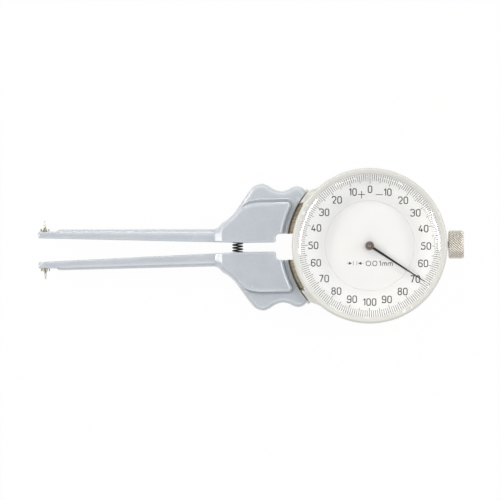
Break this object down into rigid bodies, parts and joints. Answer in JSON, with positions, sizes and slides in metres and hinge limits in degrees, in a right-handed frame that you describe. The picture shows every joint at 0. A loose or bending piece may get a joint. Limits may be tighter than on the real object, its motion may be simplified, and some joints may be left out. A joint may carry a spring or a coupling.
{
  "type": "internal dial caliper gauge",
  "caption": "Sprung-arm inside caliper with a dial that shows the distance between two small contact points at the arm ends.",
  "frame": {"origin": "where the dial axis meets the flat back face of the cover", "axes": "+Z out of the dial along its axis, arms along -X, zero-setting knob along +X"},
  "size_m": [0.1577, 0.058, 0.0209],
  "materials": {
    "cast_paint": "hammered grey enamel, semi-gloss",
    "satin_chrome": "satin",
    "nickel": "satin, knurled",
    "steel": "fine turned",
    "brass": "fine brushed",
    "bronze": "dull",
    "spring_steel": "blackened",
    "blue_steel": "blued",
    "dial_paint": "matt white print ground",
    "black_paint": "matt",
    "hub_metal": "turned",
    "gasket": "matt",
    "crystal": "clear, polished"
  },
  "bodies": {
    "gauge_case": {"case_body": "satin_chrome", "back_cover": "satin_chrome", "cover_screw_1": "steel", "cover_screw_2": "steel", "cover_screw_3": "steel", "cover_screw_4": "steel", "bezel": "satin_chrome", "crystal": "crystal", "crystal_gasket": "gasket", "dial_retaining_ring": "dial_paint", "knob_bush": "nickel", "return_spring": "spring_steel", "base_plate": "brass", "base_screw_1": "steel", "base_screw_2": "steel", "base_screw_3": "steel", "base_screw_4": "steel", "bridge_plate": "brass", "bridge_pillar_1": "brass", "bridge_pillar_2": "brass", "bridge_pillar_3": "brass", "bridge_screw_1": "steel", "bridge_screw_2": "steel", "bridge_screw_3": "steel", "upper_pivot_pin": "steel", "lower_pivot_pin": "steel", "opening_stop_pin": "steel", "closing_stop_pin": "steel", "hairspring": "blue_steel", "hairspring_stud": "brass"},
    "dial": {"dial_plate": "dial_paint", "dial_carrier": "brass"},
    "knob": {"zero_knob": "nickel", "knob_stem": "steel"},
    "first_gear": {"first_pinion": "steel", "first_wheel": "brass"},
    "second_gear": {"second_pinion": "steel", "second_wheel": "brass"},
    "hairspring_gear": {"hairspring_arbor": "steel", "hairspring_wheel": "brass"},
    "pointer": {"centre_arbor": "steel", "pointer_hub": "hub_metal", "pointer_needle": "black_paint"},
    "upper_jaw": {"upper_arm": "cast_paint", "upper_lever_plate": "bronze", "upper_contact_pin": "steel", "upper_contact_collar": "steel", "upper_lever_screw_1": "steel", "upper_lever_screw_2": "steel"},
    "lower_jaw": {"lower_arm": "cast_paint", "lower_lever_plate": "bronze", "lower_contact_pin": "steel", "lower_contact_collar": "steel", "lower_lever_screw_1": "steel", "lower_lever_screw_2": "steel"}
  },
  "joints": [
    {"name": "upper_arm_swing", "type": "hinge", "parent": "gauge_case", "child": "upper_jaw", "pos_m": [-0.01992, 0.007, 0], "axis": [0, 0, 1], "range_deg": [0, 2.28], "stiffness_Nm_per_rad": 0.6, "springref_deg": -8.59, "deforming": ["return_spring"]},
    {"name": "lower_arm_swing", "type": "hinge", "parent": "gauge_case", "child": "lower_jaw", "pos_m": [-0.01992, -0.007, 0], "axis": [0, 0, 1], "range_deg": [-2.28, 0], "stiffness_Nm_per_rad": 0.6, "springref_deg": 8.59},
    {"name": "first_gear_spin", "type": "hinge", "parent": "gauge_case", "child": "first_gear", "pos_m": [0.01295, 0.007, 0], "axis": [0, 0, 1], "range_deg": [-47.9, 0]},
    {"name": "second_gear_spin", "type": "hinge", "parent": "gauge_case", "child": "second_gear", "pos_m": [0.00746, 0.00024, 0], "axis": [0, 0, 1], "range_deg": [0, 287.4]},
    {"name": "hairspring_gear_spin", "type": "hinge", "parent": "gauge_case", "child": "hairspring_gear", "pos_m": [-0.00702, -0.00255, 0], "axis": [0, 0, 1], "range_deg": [0, 287.4]},
    {"name": "pointer_spin", "type": "hinge", "parent": "gauge_case", "child": "pointer", "pos_m": [0, 0, 0], "axis": [0, 0, 1], "range_deg": [-1436.8, 0]},
    {"name": "dial_spin", "type": "hinge", "parent": "gauge_case", "child": "dial", "pos_m": [0, 0, 0], "axis": [0, 0, 1], "continuous": true},
    {"name": "knob_spin", "type": "hinge", "parent": "gauge_case", "child": "knob", "pos_m": [0.03, 0, 0.008], "axis": [1, 0, 0], "continuous": true}
  ],
  "couplings": [
    {"joint": "lower_arm_swing", "follows": "upper_arm_swing", "ratio": -1},
    {"joint": "first_gear_spin", "follows": "upper_arm_swing", "ratio": -21},
    {"joint": "second_gear_spin", "follows": "upper_arm_swing", "ratio": 126},
    {"joint": "hairspring_gear_spin", "follows": "upper_arm_swing", "ratio": 126},
    {"joint": "pointer_spin", "follows": "upper_arm_swing", "ratio": -630},
    {"joint": "knob_spin", "follows": "dial_spin", "ratio": -8}
  ]
}
